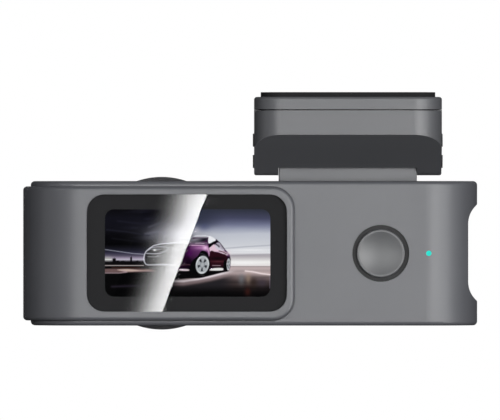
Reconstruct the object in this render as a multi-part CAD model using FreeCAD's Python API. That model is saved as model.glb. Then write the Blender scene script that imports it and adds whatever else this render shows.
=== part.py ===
"""Dash camera that hangs under a windshield on an adhesive pad.

Frame, in millimetres: +Z is up, and the origin is the centre of the adhesive
pad's top face. +Y points to the road (lens side), -Y to the cabin (screen side).
Parts are drawn with the hinge axis at Y 0, and all are moved by HINGE_Y when saved.
"""
import FreeCAD, Part
import math
import os

V = FreeCAD.Vector
ALONG_X = V(1, 0, 0)
ALONG_Y = V(0, 1, 0)
ALONG_Z = V(0, 0, 1)

# Camera housing
BODY_X = (-69.98, 28.58)
BODY_Y = (-12.0, 14.0)
BODY_Z = (-51.37, -19.54)
BODY_CORNER = 11.5
BODY_EDGE = 0.9
WALL = 1.6
PARTING_Y = 6.0
CAVITY_X = (BODY_X[0] + WALL, 24.6)
CAVITY_Y = (BODY_Y[0] + WALL, BODY_Y[1] - WALL)
CAVITY_Z = (BODY_Z[0] + WALL, BODY_Z[1] - WALL)
MID_Z = (BODY_Z[0] + BODY_Z[1]) / 2
FRONT_CUT_Y = (BODY_Y[0] - 2, -9.0)
REAR_CUT_Y = (10.0, BODY_Y[1] + 2)
SHELL_POSTS = [(x, z) for x in (-62.0, 20.6) for z in (-46.9, -24.0)]
BOARD_POSTS = [(-1.5, -26.9), (-1.5, -44.3)]
POST_R = 2.2
BOARD_POST_R = 1.8
SCREW_SEAT_Y = 10.6
VENT_X = [-16.0 + 2.4 * index for index in range(6)]
VENT_Z = (-41.4, -29.4)

# Port recess in the right end
PORT_FACE_X = 26.53
PORT_RECESS_Z = (-46.0, -24.7)
PORT_RECESS_SLOPE = 48.0
PORT_RECESS_SCOOP = 5.5
PORT_RECESS_EDGE = 0.6

# Raised screen cover that wraps the left end
COVER_X = (-71.65, -11.76)
COVER_Y = (-13.8, 2.0)
COVER_Z = (-50.29, -20.70)
COVER_CORNER = 4.9
COVER_END_CORNER = 13.6
COVER_EDGE = 0.85

# Display
GLASS_X = (-57.54, -13.39)
GLASS_Z = (-48.36, -22.44)
GLASS_Y = (-13.75, -12.95)
GLASS_CORNER = 3.9
GLASS_LEDGE = 1.05
PICTURE_X = (-53.49, -17.10)
PICTURE_Z = (-45.03, -25.76)
PICTURE_CORNER = 2.0
PANEL_X = (-55.0, -15.6)
PANEL_Y = (-12.60, -11.30)
PANEL_Z = (-46.8, -24.0)
TRAY_WALL = 0.5

# Lens
LENS_X = -41.15
LENS_Z = -35.50
LENS_RING_R = 16.93
LENS_RING_Y = (BODY_Y[1], 20.5)
LENS_HOLE_R = 12.0
BARREL_R = 7.0
LENS_SEAT_Y = 14.4
SENSOR_BOARD_X = (LENS_X - 11, LENS_X + 11)
SENSOR_BOARD_Z = (LENS_Z - 11, LENS_Z + 11)
SENSOR_BOARD_Y = (-2.0, -1.0)
HOLDER_SCREWS = [(LENS_X - 7.6, LENS_Z + 7.6), (LENS_X + 7.6, LENS_Z - 7.6)]

# Button and status light
BUTTON_X = 7.23
BUTTON_R = 5.33
CAP_Y = (-12.35, -9.55)
DISH_R = 4.75
DISH_DEPTH = 0.5
RING_R = 6.22
RING_Y = (-11.5, -10.2)
PLUNGER_R = 1.7
SWITCH_Y = (-8.85, -7.0)
BUTTON_BOARD_Y = (-7.0, -6.2)
LIGHT_X = 17.79
LIGHT_R = 0.55
COLLAR_R = 1.3
COLLAR_Y = (-10.3, -9.3)

# Mount and hinge
HINGE_Y = 3.0
HINGE_Z = -12.85
PAD_X = 19.2
PAD_Y = (-16.7, 10.7)
PAD_CORNER = 4.6
PAD_THICK = 1.03
PLATE_X = 20.67
PLATE_Y = (-18.0, 12.0)
PLATE_Z = (-3.77, -PAD_THICK)
PLATE_CORNER = 6.1
BLOCK_TOP = -3.90
SEAM_DROP = 0.20
SEAM_REACH = 1.4
SLANT_Z = -9.37
REAR_LOW_Z = -6.80
RAIL_Y = (-9.0, PLATE_Y[1])
RAIL_TOP_HALF = 9.0
RAIL_FOOT_HALF = 10.6
RAIL_FOOT_Z = -5.60
RAIL_GAP = 0.12
EAR_R = 5.41
EAR_INNER_X = 15.30
EAR_EDGE = 0.45
TONGUE_BARREL_R = 4.0
BARREL_GAP = 0.4
NECK_HALF_X = 15.25
NECK_HALF_Y = 2.6
NECK_EDGE = 0.3
NECK_TOP_Z = -16.72
PIN_R = 1.5
PIN_HALF = 19.0
WASHER_R = 3.4
WASHER_X = 14.30
CAP_R = 3.8
CAP_PROUD = 0.28
CAP_SLOT_HALF = 0.92
FLANGE_X = (-17.5, 17.5)
FLANGE_Y = (-5.8, 5.8)
FLANGE_Z = (-23.2, CAVITY_Z[1])
TONGUE_SCREWS = [(x, y) for x in (-11.0, 11.0) for y in (-4.5, 4.5)]

# Electronics
BOARD_X = (-27.0, 24.0)
BOARD_Y = (0.0, 1.2)
BOARD_Z = (-46.5, -24.6)
CARD_X = (11.6, 26.6)
CARD_Y = (-1.25, -0.55)
CARD_Z = (MID_Z - 5.5, MID_Z + 5.5)
USB_X = (18.4, 25.9)
USB_Y = (BOARD_Y[1], 4.4)
USB_Z = (MID_Z - 4.47, MID_Z + 4.47)
SPEAKER_X = 11.2
SPEAKER_R = 7.0
SPEAKER_Y = (7.4, 11.6)
MICROPHONE_XY = (-2.0, -4.0)
CAPACITOR_R = 5.0
CAPACITOR_Y = 7.1
CAPACITOR_RISE = 5.85
FIT = 0.05


def outline(points, radii):
    """Closed wire through the points, with each corner rounded to its radius."""
    starts, ends, arcs = [], [], []
    count = len(points)
    for index, corner in enumerate(points):
        radius = radii[index]
        if radius == 0:
            starts.append(corner)
            ends.append(corner)
            arcs.append(None)
            continue
        before = (points[index - 1] - corner).normalize()
        after = (points[(index + 1) % count] - corner).normalize()
        half = before.getAngle(after) / 2
        inward = (before + after).normalize()
        reach = radius / math.tan(half)
        start = corner + before * reach
        end = corner + after * reach
        middle = corner + inward * (radius / math.sin(half) - radius)
        starts.append(start)
        ends.append(end)
        arcs.append(Part.Arc(start, middle, end).toShape())
    edges = []
    for index in range(count):
        if arcs[index]:
            edges.append(arcs[index])
        following = starts[(index + 1) % count]
        if ends[index].distanceToPoint(following) > 1e-6:
            edges.append(Part.LineSegment(ends[index], following).toShape())
    return Part.Wire(edges)


def prism(points, radii, along):
    return Part.Face(outline(points, radii)).extrude(along)


def corner_list(value):
    return list(value) if isinstance(value, (list, tuple)) else [value] * 4


def box(x, y, z):
    return Part.makeBox(x[1] - x[0], y[1] - y[0], z[1] - z[0], V(x[0], y[0], z[0]))


def seen_from_top(x, y, z, radii):
    """Rounded rectangle in X and Y; corners run from low X, low Y anticlockwise."""
    points = [V(x[0], y[0], z[0]), V(x[1], y[0], z[0]), V(x[1], y[1], z[0]), V(x[0], y[1], z[0])]
    return prism(points, corner_list(radii), ALONG_Z * (z[1] - z[0]))


def seen_from_cabin(x, y, z, radii):
    """Rounded rectangle in X and Z; corners run from low X, low Z anticlockwise."""
    points = [V(x[0], y[0], z[0]), V(x[1], y[0], z[0]), V(x[1], y[0], z[1]), V(x[0], y[0], z[1])]
    return prism(points, corner_list(radii), ALONG_Y * (y[1] - y[0]))


def seen_from_end(x, y, z, radii):
    """Rounded rectangle in Y and Z, extruded along X."""
    points = [V(x[0], y[0], z[0]), V(x[0], y[1], z[0]), V(x[0], y[1], z[1]), V(x[0], y[0], z[1])]
    return prism(points, corner_list(radii), ALONG_X * (x[1] - x[0]))


def rod_y(x, z, radius, y):
    return Part.makeCylinder(radius, y[1] - y[0], V(x, y[0], z), ALONG_Y)


def rod_x(y, z, radius, x):
    return Part.makeCylinder(radius, x[1] - x[0], V(x[0], y, z), ALONG_X)


def rod_z(x, y, radius, z):
    return Part.makeCylinder(radius, z[1] - z[0], V(x, y, z[0]), ALONG_Z)


def turned(x, z, profile):
    """Solid of revolution about a Y axis at x, z from (radius, y) pairs."""
    points = [V(x + radius, y, z) for radius, y in profile]
    face = Part.Face(Part.makePolygon(points + points[:1]))
    return face.revolve(V(x, 0, z), ALONG_Y, 360)


def around(span, gap):
    return (span[0] - gap, span[1] + gap)


def edges_where(shape, test):
    return [edge for edge in shape.Edges if test(edge)]


def flat_at(edge, axis, value):
    """True where every point of the edge has this value on the axis."""
    low = getattr(edge.BoundBox, axis + "Min")
    high = getattr(edge.BoundBox, axis + "Max")
    return abs(low - value) < 1e-3 and abs(high - value) < 1e-3


# ---------------------------------------------------------------- mount
def adhesive_pad():
    return seen_from_top((-PAD_X, PAD_X), PAD_Y, (-PAD_THICK, 0.0), PAD_CORNER)


def rail(grow, y):
    """Dovetail under the plate: wider at its foot, grown by a clearance."""
    top = RAIL_TOP_HALF + grow
    foot = RAIL_FOOT_HALF + grow
    low = RAIL_FOOT_Z - grow
    points = [V(-top, y[0], PLATE_Z[0]), V(-foot, y[0], low), V(foot, y[0], low), V(top, y[0], PLATE_Z[0])]
    return prism(points, [0] * 4, ALONG_Y * (y[1] - y[0]))


def mount_plate():
    plate = seen_from_top((-PLATE_X, PLATE_X), PLATE_Y, PLATE_Z, PLATE_CORNER)
    rim = edges_where(plate, lambda edge: flat_at(edge, "Z", PLATE_Z[1]))
    plate = plate.makeFillet(0.6, rim)
    return plate.fuse(rail(0.0, RAIL_Y)).removeSplitter()


def ear_tangent(x, outer, side):
    """Where a line from an outer point touches the ear's circle; side is -1 to the road, 1 to the cabin."""
    centre = V(x, 0, HINGE_Z)
    reach = outer - centre
    angle = math.atan2(reach.z, reach.y) + side * math.acos(EAR_R / reach.Length)
    return centre + V(0, math.cos(angle), math.sin(angle)) * EAR_R


def block_profile(x):
    """Side view of the hinge block: slanted underside to the cabin, round under the pin."""
    top_front = V(x, PLATE_Y[0], BLOCK_TOP)
    slant_front = V(x, PLATE_Y[0], SLANT_Z)
    front_touch = ear_tangent(x, slant_front, 1)
    bottom = V(x, 0, HINGE_Z - EAR_R)
    rear_low = V(x, PLATE_Y[1], REAR_LOW_Z)
    rear_touch = ear_tangent(x, rear_low, -1)
    top_rear = V(x, PLATE_Y[1], BLOCK_TOP)
    edges = [
        Part.LineSegment(top_front, slant_front).toShape(),
        Part.LineSegment(slant_front, front_touch).toShape(),
        Part.Arc(front_touch, bottom, rear_touch).toShape(),
        Part.LineSegment(rear_touch, rear_low).toShape(),
        Part.LineSegment(rear_low, top_rear).toShape(),
        Part.LineSegment(top_rear, top_front).toShape(),
    ]
    return Part.Face(Part.Wire(edges))


def tongue_recess():
    """Room between the ears for the barrel and for the neck as it swings."""
    wall_y = -4.45
    below = -9.0
    swing = [
        (wall_y, NECK_TOP_Z - HINGE_Z),
        (wall_y, 0.0),
        (1.9, 2.7),
        (13.4, -5.33),
        (13.4, below),
        (wall_y, below),
    ]
    points = [V(-EAR_INNER_X, y, HINGE_Z + z) for y, z in swing]
    sweep = prism(points, [0] * len(points), ALONG_X * 2 * EAR_INNER_X)
    return sweep.fuse(rod_x(0, HINGE_Z, TONGUE_BARREL_R + BARREL_GAP, (-EAR_INNER_X, EAR_INNER_X)))


def seam_groove():
    """Shallow step along the block's top front edge that makes a shadow line under the plate."""
    height = (BLOCK_TOP - SEAM_DROP, BLOCK_TOP + 1)
    depth = (PLATE_Y[0] - 1, PLATE_Y[0] + PLATE_CORNER)
    inner_width = around((-PLATE_X, PLATE_X), -SEAM_REACH)
    inner_depth = around(PLATE_Y, -SEAM_REACH)
    front = box((-PLATE_X - 1, PLATE_X + 1), depth, height)
    return front.cut(seen_from_top(inner_width, inner_depth, height, PLATE_CORNER - SEAM_REACH))


def hinge_block():
    block = block_profile(-PLATE_X).extrude(ALONG_X * 2 * PLATE_X)
    width, height = (-PLATE_X, PLATE_X), (HINGE_Z - EAR_R, BLOCK_TOP)
    block = block.common(seen_from_top(width, PLATE_Y, around(height, 1), PLATE_CORNER))
    block = block.common(seen_from_cabin(width, PLATE_Y, height, [EAR_EDGE, EAR_EDGE, 0, 0]))
    block = block.cut(seam_groove())
    block = block.cut(tongue_recess())
    block = block.cut(rail(RAIL_GAP, (RAIL_Y[0] - 0.2, PLATE_Y[1] + 1)))
    block = block.cut(rod_x(0, HINGE_Z, PIN_R + FIT, width))
    for side in (-1, 1):
        span = sorted((side * PIN_HALF, side * (PLATE_X + 1)))
        block = block.cut(rod_x(0, HINGE_Z, CAP_R + FIT, span))
    return block


def hinge_cap(side):
    """Knurled disc with a coin slot that closes the pin bore, slightly proud of the ear."""
    teeth, groove_r = 24, 0.2
    span = sorted((side * PIN_HALF, side * (PLATE_X + CAP_PROUD)))
    cap = rod_x(0, HINGE_Z, CAP_R, span)
    for index in range(teeth):
        angle = 2 * math.pi * index / teeth
        y = CAP_R * math.cos(angle)
        z = HINGE_Z + CAP_R * math.sin(angle)
        cap = cap.cut(rod_x(y, z, groove_r, span))
    slot = sorted((side * (PLATE_X - 0.4), side * (PLATE_X + 1)))
    return cap.cut(box(slot, (-CAP_R - 1, CAP_R + 1), (HINGE_Z - CAP_SLOT_HALF, HINGE_Z + CAP_SLOT_HALF)))


def hinge_pin():
    return rod_x(0, HINGE_Z, PIN_R, (-PIN_HALF, PIN_HALF))


def friction_washers():
    washers = []
    for side in (-1, 1):
        span = sorted((side * WASHER_X, side * EAR_INNER_X))
        disc = rod_x(0, HINGE_Z, WASHER_R, span)
        washers.append(disc.cut(rod_x(0, HINGE_Z, PIN_R + FIT, span)))
    return Part.makeCompound(washers)


# ---------------------------------------------------------------- hinge tongue
def hinge_tongue():
    span = (-NECK_HALF_X, NECK_HALF_X)
    neck = seen_from_top(span, (-NECK_HALF_Y, NECK_HALF_Y), (FLANGE_Z[0], HINGE_Z), NECK_EDGE)
    tongue = rod_x(0, HINGE_Z, TONGUE_BARREL_R, span).fuse(neck)
    tongue = tongue.fuse(box(FLANGE_X, FLANGE_Y, FLANGE_Z)).removeSplitter()
    tongue = tongue.cut(rod_x(0, HINGE_Z, PIN_R + FIT, span))
    for side in (-1, 1):
        seat = sorted((side * (WASHER_X - FIT), side * (NECK_HALF_X + 1)))
        tongue = tongue.cut(rod_x(0, HINGE_Z, WASHER_R + 0.3, seat))
    for x, y in TONGUE_SCREWS:
        tongue = tongue.cut(rod_z(x, y, 0.9, FLANGE_Z))
    return tongue


def tongue_screws():
    screws = []
    for x, y in TONGUE_SCREWS:
        head = rod_z(x, y, 1.5, (FLANGE_Z[0] - 0.9, FLANGE_Z[0]))
        shank = rod_z(x, y, 0.85, (FLANGE_Z[0], -20.2))
        slot = box((x - 1.6, x + 1.6), (y - 0.2, y + 0.2), (FLANGE_Z[0] - 1, FLANGE_Z[0] - 0.5))
        screws.append(head.fuse(shank).removeSplitter().cut(slot))
    return Part.makeCompound(screws)


# ---------------------------------------------------------------- housing
def body_block():
    block = seen_from_top(BODY_X, BODY_Y, BODY_Z, BODY_CORNER)
    rims = edges_where(block, lambda edge: flat_at(edge, "Z", BODY_Z[0]) or flat_at(edge, "Z", BODY_Z[1]))
    return block.makeFillet(BODY_EDGE, rims)


def port_recess():
    """Shallow scoop down the whole depth of the right end."""
    low, high = PORT_RECESS_Z
    slope = math.tan(math.radians(PORT_RECESS_SLOPE))
    inset = (BODY_X[1] - PORT_FACE_X) / slope
    beyond = 3.0
    mouth_x = BODY_X[1] + beyond
    flare = beyond / slope
    near = BODY_Y[0] - beyond
    points = [V(mouth_x, near, low - flare), V(PORT_FACE_X, near, low + inset),
              V(PORT_FACE_X, near, high - inset), V(mouth_x, near, high + flare)]
    return prism(points, [0, PORT_RECESS_SCOOP, PORT_RECESS_SCOOP, 0], ALONG_Y * (BODY_Y[1] - near + beyond))


def on_recess_rim(edge):
    """Edges where the port recess breaks out of the rounded end."""
    box = edge.BoundBox
    inside = box.ZMin > PORT_RECESS_Z[0] - 0.01 and box.ZMax < PORT_RECESS_Z[1] + 0.01
    return inside and box.XMin > PORT_FACE_X - 0.01 and not is_straight_across(edge)


def is_straight_across(edge):
    """True for the recess's own tangent lines, which run from side to side."""
    box = edge.BoundBox
    across = box.YLength > 5 and box.XLength < 1e-3 and box.ZLength < 1e-3
    return across and box.XMin < BODY_X[1] - 0.01


def scooped_block():
    block = body_block().cut(port_recess())
    return block.makeFillet(PORT_RECESS_EDGE, edges_where(block, on_recess_rim))


def housing():
    shell = scooped_block()
    shell = shell.cut(seen_from_top(CAVITY_X, CAVITY_Y, CAVITY_Z, BODY_CORNER - WALL))
    card_slot = seen_from_end((CAVITY_X[1] - 1, BODY_X[1]), (-1.5, -0.3), around(CARD_Z, 0.3), 0.3)
    usb_hole = seen_from_end((CAVITY_X[1] - 1, BODY_X[1]), around(USB_Y, 0.15), around(USB_Z, 0.15), 1.7)
    return shell.cut(card_slot).cut(usb_hole)


def cabin_shell():
    shell = housing().common(box(around(BODY_X, 1), (BODY_Y[0] - 1, PARTING_Y), around(BODY_Z, 1)))
    for x, z in SHELL_POSTS:
        shell = shell.fuse(rod_y(x, z, POST_R, (BODY_Y[0] + 1, PARTING_Y)))
    for x, z in BOARD_POSTS:
        shell = shell.fuse(rod_y(x, z, BOARD_POST_R, (BODY_Y[0] + 1, BOARD_Y[0])))
    shell = shell.common(scooped_block()).removeSplitter()
    for x, z in SHELL_POSTS:
        shell = shell.cut(rod_y(x, z, 1.0, (-2.0, PARTING_Y)))
    for x, z in BOARD_POSTS:
        shell = shell.cut(rod_y(x, z, 0.8, (-6.0, BOARD_Y[0])))
    window_x = around(GLASS_X, -GLASS_LEDGE)
    window_z = around(GLASS_Z, -GLASS_LEDGE)
    shell = shell.cut(seen_from_cabin(window_x, FRONT_CUT_Y, window_z, GLASS_CORNER - GLASS_LEDGE))
    shell = shell.cut(rod_y(BUTTON_X, MID_Z, RING_R + FIT, FRONT_CUT_Y))
    shell = shell.cut(rod_y(LIGHT_X, MID_Z, LIGHT_R + FIT, FRONT_CUT_Y))
    shell = shell.cut(rod_y(LIGHT_X, MID_Z, COLLAR_R + FIT, (COLLAR_Y[0] - FIT, FRONT_CUT_Y[1])))
    shell = shell.cut(rod_z(*MICROPHONE_XY, 0.5, (BODY_Z[0] - 1, CAVITY_Z[0] + 1)))
    neck_x, neck_y = (-NECK_HALF_X, NECK_HALF_X), (-NECK_HALF_Y, NECK_HALF_Y)
    shell = shell.cut(box(around(neck_x, FIT), around(neck_y, FIT), (CAVITY_Z[1] - 1, BODY_Z[1] + 1)))
    for x, y in TONGUE_SCREWS:
        shell = shell.cut(rod_z(x, y, 0.9, (CAVITY_Z[1] - 1, -20.1)))
    return shell


def road_shell():
    shell = housing().common(box(around(BODY_X, 1), (PARTING_Y, BODY_Y[1] + 1), around(BODY_Z, 1)))
    for x, z in SHELL_POSTS:
        shell = shell.fuse(rod_y(x, z, POST_R, (PARTING_Y, BODY_Y[1] - 1)))
    shell = shell.common(scooped_block()).removeSplitter()
    for x, z in SHELL_POSTS:
        shell = shell.cut(rod_y(x, z, 1.1, (PARTING_Y, BODY_Y[1] + 1)))
        shell = shell.cut(rod_y(x, z, 1.9, (SCREW_SEAT_Y, BODY_Y[1] + 1)))
    shell = shell.cut(rod_y(LENS_X, LENS_Z, LENS_HOLE_R, REAR_CUT_Y))
    for x, z in speaker_holes():
        shell = shell.cut(rod_y(x, z, 0.5, REAR_CUT_Y))
    for x in VENT_X:
        shell = shell.cut(seen_from_cabin((x - 0.5, x + 0.5), REAR_CUT_Y, VENT_Z, 0.49))
    return shell


def speaker_holes():
    """Centres of the sound holes: one in the middle, with rings of 6 and 12 round it."""
    pitch = 2.1
    holes = [(SPEAKER_X, MID_Z)]
    for ring in (1, 2):
        for index in range(6 * ring):
            angle = 2 * math.pi * index / (6 * ring)
            out = pitch * ring
            holes.append((SPEAKER_X + out * math.cos(angle), MID_Z + out * math.sin(angle)))
    return holes


def on_cover_rim(edge):
    """Outer edges of the cover's face and of its wrapped end."""
    if flat_at(edge, "Y", COVER_Y[1]) or flat_at(edge, "X", COVER_X[0] + COVER_END_CORNER):
        return False
    return flat_at(edge, "Y", COVER_Y[0]) or flat_at(edge, "Z", COVER_Z[0]) or flat_at(edge, "Z", COVER_Z[1])


def screen_cover():
    cover = seen_from_cabin(COVER_X, COVER_Y, COVER_Z, [0, COVER_CORNER, COVER_CORNER, 0])
    plan = seen_from_top((COVER_X[0], 0), COVER_Y, around(COVER_Z, 1), [COVER_END_CORNER, 0, 0, 0])
    cover = cover.common(plan)
    cover = cover.makeFillet(COVER_EDGE, edges_where(cover, on_cover_rim))
    cover = cover.cut(seen_from_top(BODY_X, BODY_Y, around(BODY_Z, 1), BODY_CORNER))
    recess = seen_from_cabin(GLASS_X, (FRONT_CUT_Y[0], GLASS_Y[1]), GLASS_Z, GLASS_CORNER)
    window_x = around(GLASS_X, -GLASS_LEDGE)
    window_z = around(GLASS_Z, -GLASS_LEDGE)
    window = seen_from_cabin(window_x, FRONT_CUT_Y, window_z, GLASS_CORNER - GLASS_LEDGE)
    return cover.cut(recess).cut(window)


def shell_screws():
    screws = []
    for x, z in SHELL_POSTS:
        head = rod_y(x, z, 1.8, (SCREW_SEAT_Y, SCREW_SEAT_Y + 1.4))
        shank = rod_y(x, z, 0.95, (-1.5, SCREW_SEAT_Y))
        screw = head.fuse(shank).removeSplitter()
        cross_y = (SCREW_SEAT_Y + 0.7, SCREW_SEAT_Y + 2)
        screw = screw.cut(box((x - 1.2, x + 1.2), cross_y, (z - 0.22, z + 0.22)))
        screws.append(screw.cut(box((x - 0.22, x + 0.22), cross_y, (z - 1.2, z + 1.2))))
    return Part.makeCompound(screws)


# ---------------------------------------------------------------- display
def screen_glass():
    return seen_from_cabin(around(GLASS_X, -FIT), GLASS_Y, around(GLASS_Z, -FIT), GLASS_CORNER - FIT)


def lcd_frame():
    """Thin black frame in front of the panel, open over the picture."""
    inset = GLASS_LEDGE + 0.15
    frame_y = (GLASS_Y[1] + FIT, PANEL_Y[0])
    frame = seen_from_cabin(around(GLASS_X, -inset), frame_y, around(GLASS_Z, -inset), 2.6)
    return frame.cut(seen_from_cabin(PICTURE_X, around(frame_y, 1), PICTURE_Z, PICTURE_CORNER))


def lcd_panel():
    return box(PANEL_X, PANEL_Y, PANEL_Z)


def backlight_tray():
    tray_y = (PANEL_Y[0] + 0.4, PANEL_Y[1] + 1.5)
    tray = seen_from_cabin(around(PANEL_X, TRAY_WALL), tray_y, around(PANEL_Z, 0.8 * TRAY_WALL), 2.4)
    return tray.cut(box(PANEL_X, (PANEL_Y[0], PANEL_Y[1]), PANEL_Z))


def display_flex():
    """Flat cable from the foot of the panel, under the heat sink, to the main board."""
    span = (-26.0, -20.0)
    front = box(span, (-10.3, -10.0), (-48.6, -47.3))
    floor = box(span, (-10.0, -0.3), (-48.6, -48.3))
    rise = box(span, (-0.3, 0.0), (-48.6, -45.2))
    return front.fuse(floor).fuse(rise).removeSplitter()


# ---------------------------------------------------------------- lens module
def sensor_board():
    board = seen_from_cabin(SENSOR_BOARD_X, SENSOR_BOARD_Y, SENSOR_BOARD_Z, 1.0)
    for x, z in HOLDER_SCREWS:
        board = board.cut(rod_y(x, z, 0.85, around(SENSOR_BOARD_Y, 1)))
    return board


def image_sensor():
    return box((LENS_X - 4, LENS_X + 4), (SENSOR_BOARD_Y[1], 0.0), (LENS_Z - 3.5, LENS_Z + 3.5))


def lens_holder():
    half = 9.2
    base_y = (SENSOR_BOARD_Y[1], 2.0)
    base = seen_from_cabin((LENS_X - half, LENS_X + half), base_y, (LENS_Z - half, LENS_Z + half), 1.5)
    holder = base.fuse(rod_y(LENS_X, LENS_Z, 8.4, (2.0, 8.0))).removeSplitter()
    holder = holder.cut(rod_y(LENS_X, LENS_Z, BARREL_R + FIT, (1.5, 9.0)))
    holder = holder.cut(box((LENS_X - 4.6, LENS_X + 4.6), (-2, 1.6), (LENS_Z - 4.2, LENS_Z + 4.2)))
    for x, z in HOLDER_SCREWS:
        holder = holder.cut(rod_y(x, z, 0.8, (-2, 1.6)))
    return holder


def holder_screws():
    screws = []
    for x, z in HOLDER_SCREWS:
        seat = SENSOR_BOARD_Y[0]
        head = rod_y(x, z, 1.5, (seat - 0.8, seat))
        shank = rod_y(x, z, 0.75, (seat, 1.5))
        screw = head.fuse(shank).removeSplitter()
        screws.append(screw.cut(box((x - 1.6, x + 1.6), (seat - 1, seat - 0.4), (z - 0.2, z + 0.2))))
    return Part.makeCompound(screws)


def lens_barrel():
    bore, seat_r, back, mouth = 5.6, 6.4, 1.7, 16.4
    profile = [(bore, back), (BARREL_R, back), (BARREL_R, mouth), (seat_r, mouth),
               (seat_r, LENS_SEAT_Y), (bore, LENS_SEAT_Y)]
    return turned(LENS_X, LENS_Z, profile)


def rear_lens_element():
    return rod_y(LENS_X, LENS_Z, 5.55, (3.0, 5.4))


def front_lens_element():
    """Domed meniscus held in the barrel's mouth."""
    radius, rise, seat = 6.35, 1.7, (LENS_SEAT_Y, LENS_SEAT_Y + 1.8)
    ball = (radius ** 2 + rise ** 2) / (2 * rise)
    disc = rod_y(LENS_X, LENS_Z, radius, seat)
    dome = Part.makeSphere(ball, V(LENS_X, seat[1] + rise - ball, LENS_Z))
    cap = dome.common(rod_y(LENS_X, LENS_Z, radius, (seat[1], seat[1] + rise + 1)))
    return disc.fuse(cap).removeSplitter()


def lens_bezel():
    """Deep ring round the lens, with a sleeve that drops into the road shell."""
    back, face = LENS_RING_Y
    bore, floor, sleeve = 12.95, 10.6, LENS_HOLE_R - 0.1
    profile = [(LENS_RING_R, back), (LENS_RING_R, face - 1), (LENS_RING_R - 1, face), (13.6, face),
               (bore, face - 0.7), (bore, 15.2), (floor, 15.2), (floor, 11.8), (sleeve, 11.8), (sleeve, back)]
    return turned(LENS_X, LENS_Z, profile)


def lens_baffle():
    """Funnel between the barrel and the ring."""
    profile = [(7.1, 15.8), (8.0, 15.8), (12.9, 19.4), (12.9, 18.2), (8.4, 14.8), (7.1, 14.8)]
    return turned(LENS_X, LENS_Z, profile)


def sensor_flex():
    """Flat cable from the sensor board's back to the main board's edge."""
    width = (LENS_Z - 4, LENS_Z + 4)
    run = box((-31.5, -25.4), (-2.3, -2.0), width)
    return run.fuse(box((-25.7, -25.4), (-2.0, 0.0), width)).removeSplitter()


# ---------------------------------------------------------------- electronics
def main_board():
    board = seen_from_cabin(BOARD_X, BOARD_Y, BOARD_Z, 1.0)
    for x, z in SHELL_POSTS:
        gap = POST_R + 0.5
        board = board.cut(box((x - gap, x + gap + 4), (-1, 2), (z - gap, z + gap)))
    for x, z in BOARD_POSTS:
        board = board.cut(rod_y(x, z, 0.9, (-1, 2)))
    return board


def board_screws():
    screws = []
    for x, z in BOARD_POSTS:
        head = rod_y(x, z, 1.6, (BOARD_Y[1], BOARD_Y[1] + 0.7))
        shank = rod_y(x, z, 0.75, (-5.5, BOARD_Y[1]))
        screw = head.fuse(shank).removeSplitter()
        screws.append(screw.cut(box((x - 1.7, x + 1.7), (1.6, 2.5), (z - 0.2, z + 0.2))))
    return Part.makeCompound(screws)


def processor():
    return box((-20.0, -8.0), (-1.4, 0.0), (MID_Z - 6, MID_Z + 6))


def memory_chip():
    return box((-20.0, -10.0), (BOARD_Y[1], 2.0), (MID_Z - 2.5, MID_Z + 2.5))


def thermal_pad():
    return box((-20.0, -8.0), (-1.9, -1.4), (MID_Z - 6, MID_Z + 6))


def heat_sink():
    sink = box((-24.0, -4.0), (-2.9, -1.9), (MID_Z - 9, MID_Z + 9))
    for index in range(7):
        x = -24.0 + index * 19.0 / 6
        sink = sink.fuse(box((x, x + 1.0), (-6.4, -2.9), (MID_Z - 9, MID_Z + 9)))
    return sink.removeSplitter()


def microsd_socket():
    socket = box((9.6, 24.5), (-1.95, 0.0), (MID_Z - 7.0, MID_Z + 7.0))
    return socket.cut(box((11.2, 25.0), (CARD_Y[0] - 0.1, CARD_Y[1] + 0.1), around(CARD_Z, 0.15)))


def memory_card():
    points = [V(CARD_X[0], CARD_Y[0], CARD_Z[0]), V(CARD_X[1], CARD_Y[0], CARD_Z[0]),
              V(CARD_X[1], CARD_Y[0], CARD_Z[1]), V(CARD_X[0] + 6.0, CARD_Y[0], CARD_Z[1]),
              V(CARD_X[0] + 4.8, CARD_Y[0], CARD_Z[1] - 1.3), V(CARD_X[0], CARD_Y[0], CARD_Z[1] - 1.3)]
    return prism(points, [0.8, 0.8, 0.8, 0, 0, 0.8], ALONG_Y * (CARD_Y[1] - CARD_Y[0]))


def usb_c_receptacle():
    shell = seen_from_end(USB_X, USB_Y, USB_Z, 1.55)
    mouth = (USB_X[0] + 1.2, USB_X[1] + 1)
    hollow = seen_from_end(mouth, around(USB_Y, -0.32), around(USB_Z, -0.32), 1.25)
    middle = (USB_Y[0] + USB_Y[1]) / 2
    tongue = box((USB_X[0] + 1, USB_X[1] - 0.6), (middle - 0.35, middle + 0.35), around(USB_Z, -1.1))
    return shell.cut(hollow).fuse(tongue).removeSplitter()


def supercapacitor(z):
    """Can on its side, with the crimp groove near its lead end."""
    can = rod_x(CAPACITOR_Y, z, CAPACITOR_R, (-17.0, 3.0))
    groove = rod_x(CAPACITOR_Y, z, CAPACITOR_R + 1, (-0.2, 0.8))
    return can.cut(groove.cut(rod_x(CAPACITOR_Y, z, CAPACITOR_R - 0.4, (-0.2, 0.8))))


def speaker():
    can = rod_y(SPEAKER_X, MID_Z, SPEAKER_R, (SPEAKER_Y[0] + 1.2, SPEAKER_Y[1]))
    magnet = rod_y(SPEAKER_X, MID_Z, 4.2, (SPEAKER_Y[0], SPEAKER_Y[0] + 1.2))
    return can.fuse(magnet).removeSplitter().cut(rod_y(SPEAKER_X, MID_Z, 6.2, (11.0, 12.0)))


def microphone():
    return rod_z(*MICROPHONE_XY, 2.0, (CAVITY_Z[0], CAVITY_Z[0] + 2.0))


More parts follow.
